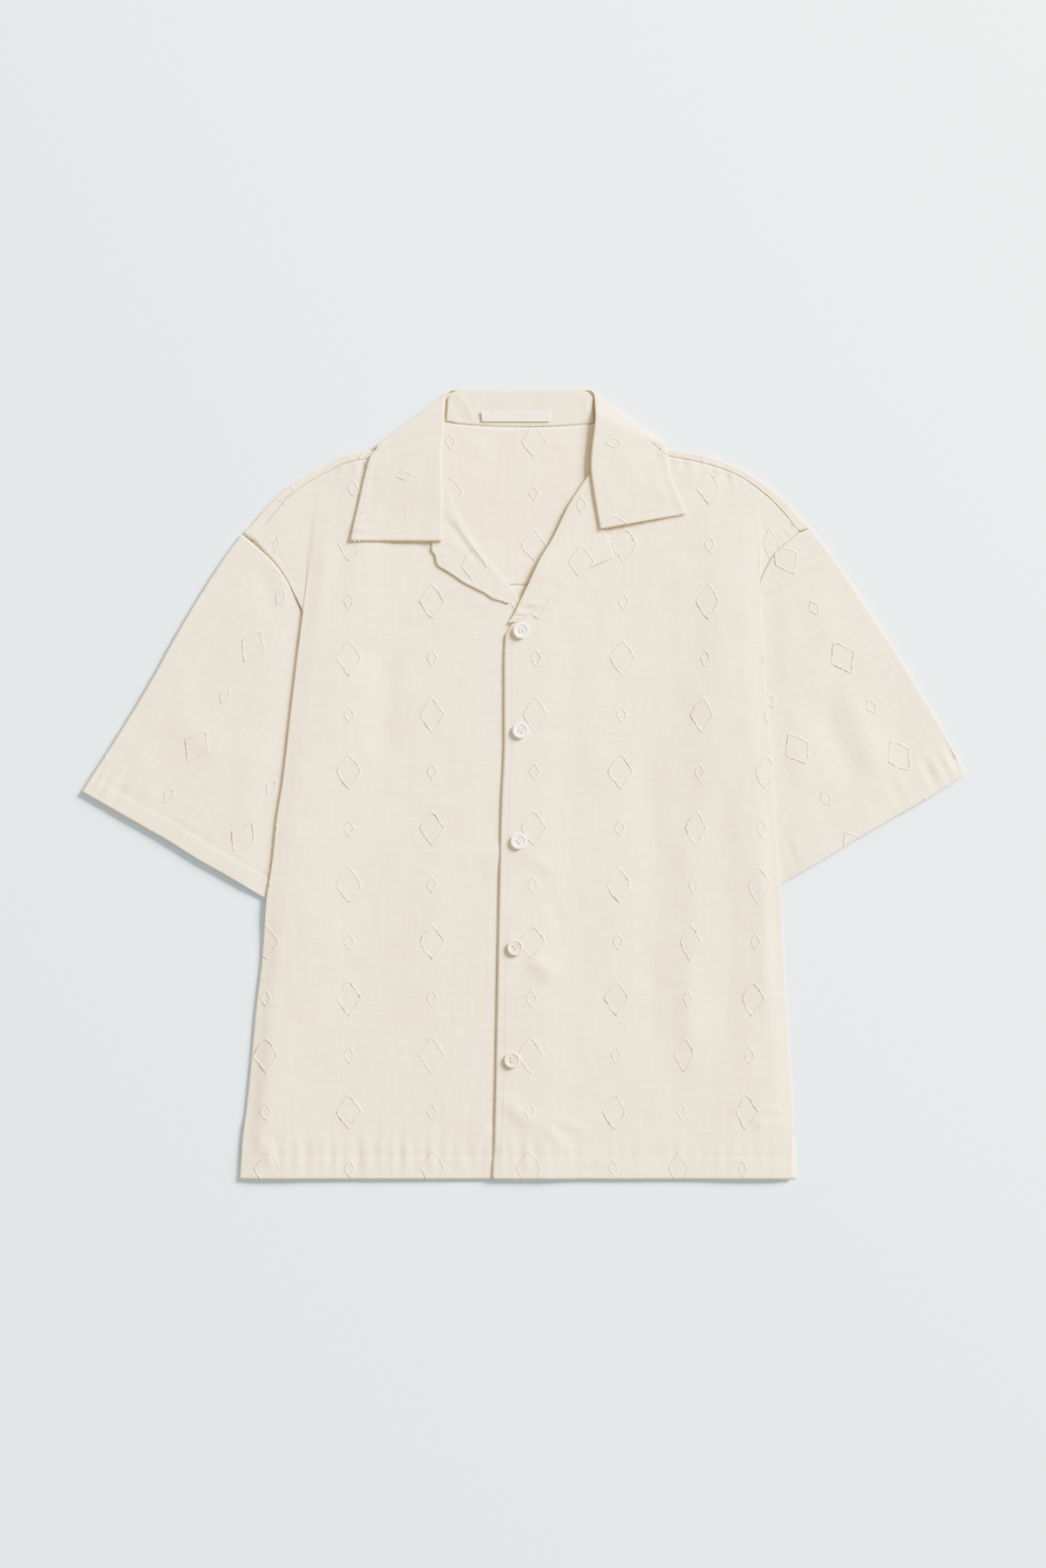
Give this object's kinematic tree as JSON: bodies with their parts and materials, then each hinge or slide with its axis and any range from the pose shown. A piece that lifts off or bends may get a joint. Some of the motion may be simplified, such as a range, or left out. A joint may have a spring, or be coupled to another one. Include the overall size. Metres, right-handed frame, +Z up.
{
  "type": "camp collar shirt",
  "caption": "Short-sleeved woven shirt with an open camp collar, small lapels and a buttoned placket, laid flat on its back.",
  "frame": {"origin": "centre of the bounding box's underside, which is the surface that the shirt lies on", "axes": "+X to the right as seen from above with the collar at the top, along the span of the sleeves; +Y from the hem to the collar; +Z up, out of the surface, through the fronts"},
  "size_m": [0.7925, 0.7074, 0.0095],
  "materials": {
    "cotton_jacquard": "cream cotton with a raised, frayed diamond figure",
    "cotton_jacquard_inside": "the warmer inside face of the same cloth",
    "label_satin": "blank white woven label",
    "button_shell": "pale shell-like buttons, softly shiny"
  },
  "bodies": {
    "root": {"back_panel": "cotton_jacquard_inside", "back_yoke": "cotton_jacquard_inside", "front_left": "cotton_jacquard", "front_right": "cotton_jacquard", "lapel_left": "cotton_jacquard", "lapel_right": "cotton_jacquard", "sleeve_left": "cotton_jacquard", "sleeve_right": "cotton_jacquard", "collar_leaf": "cotton_jacquard", "collar_stand": "cotton_jacquard", "label": "label_satin", "button_1": "button_shell", "button_2": "button_shell", "button_3": "button_shell", "button_4": "button_shell", "button_5": "button_shell"}
  },
  "joints": []
}
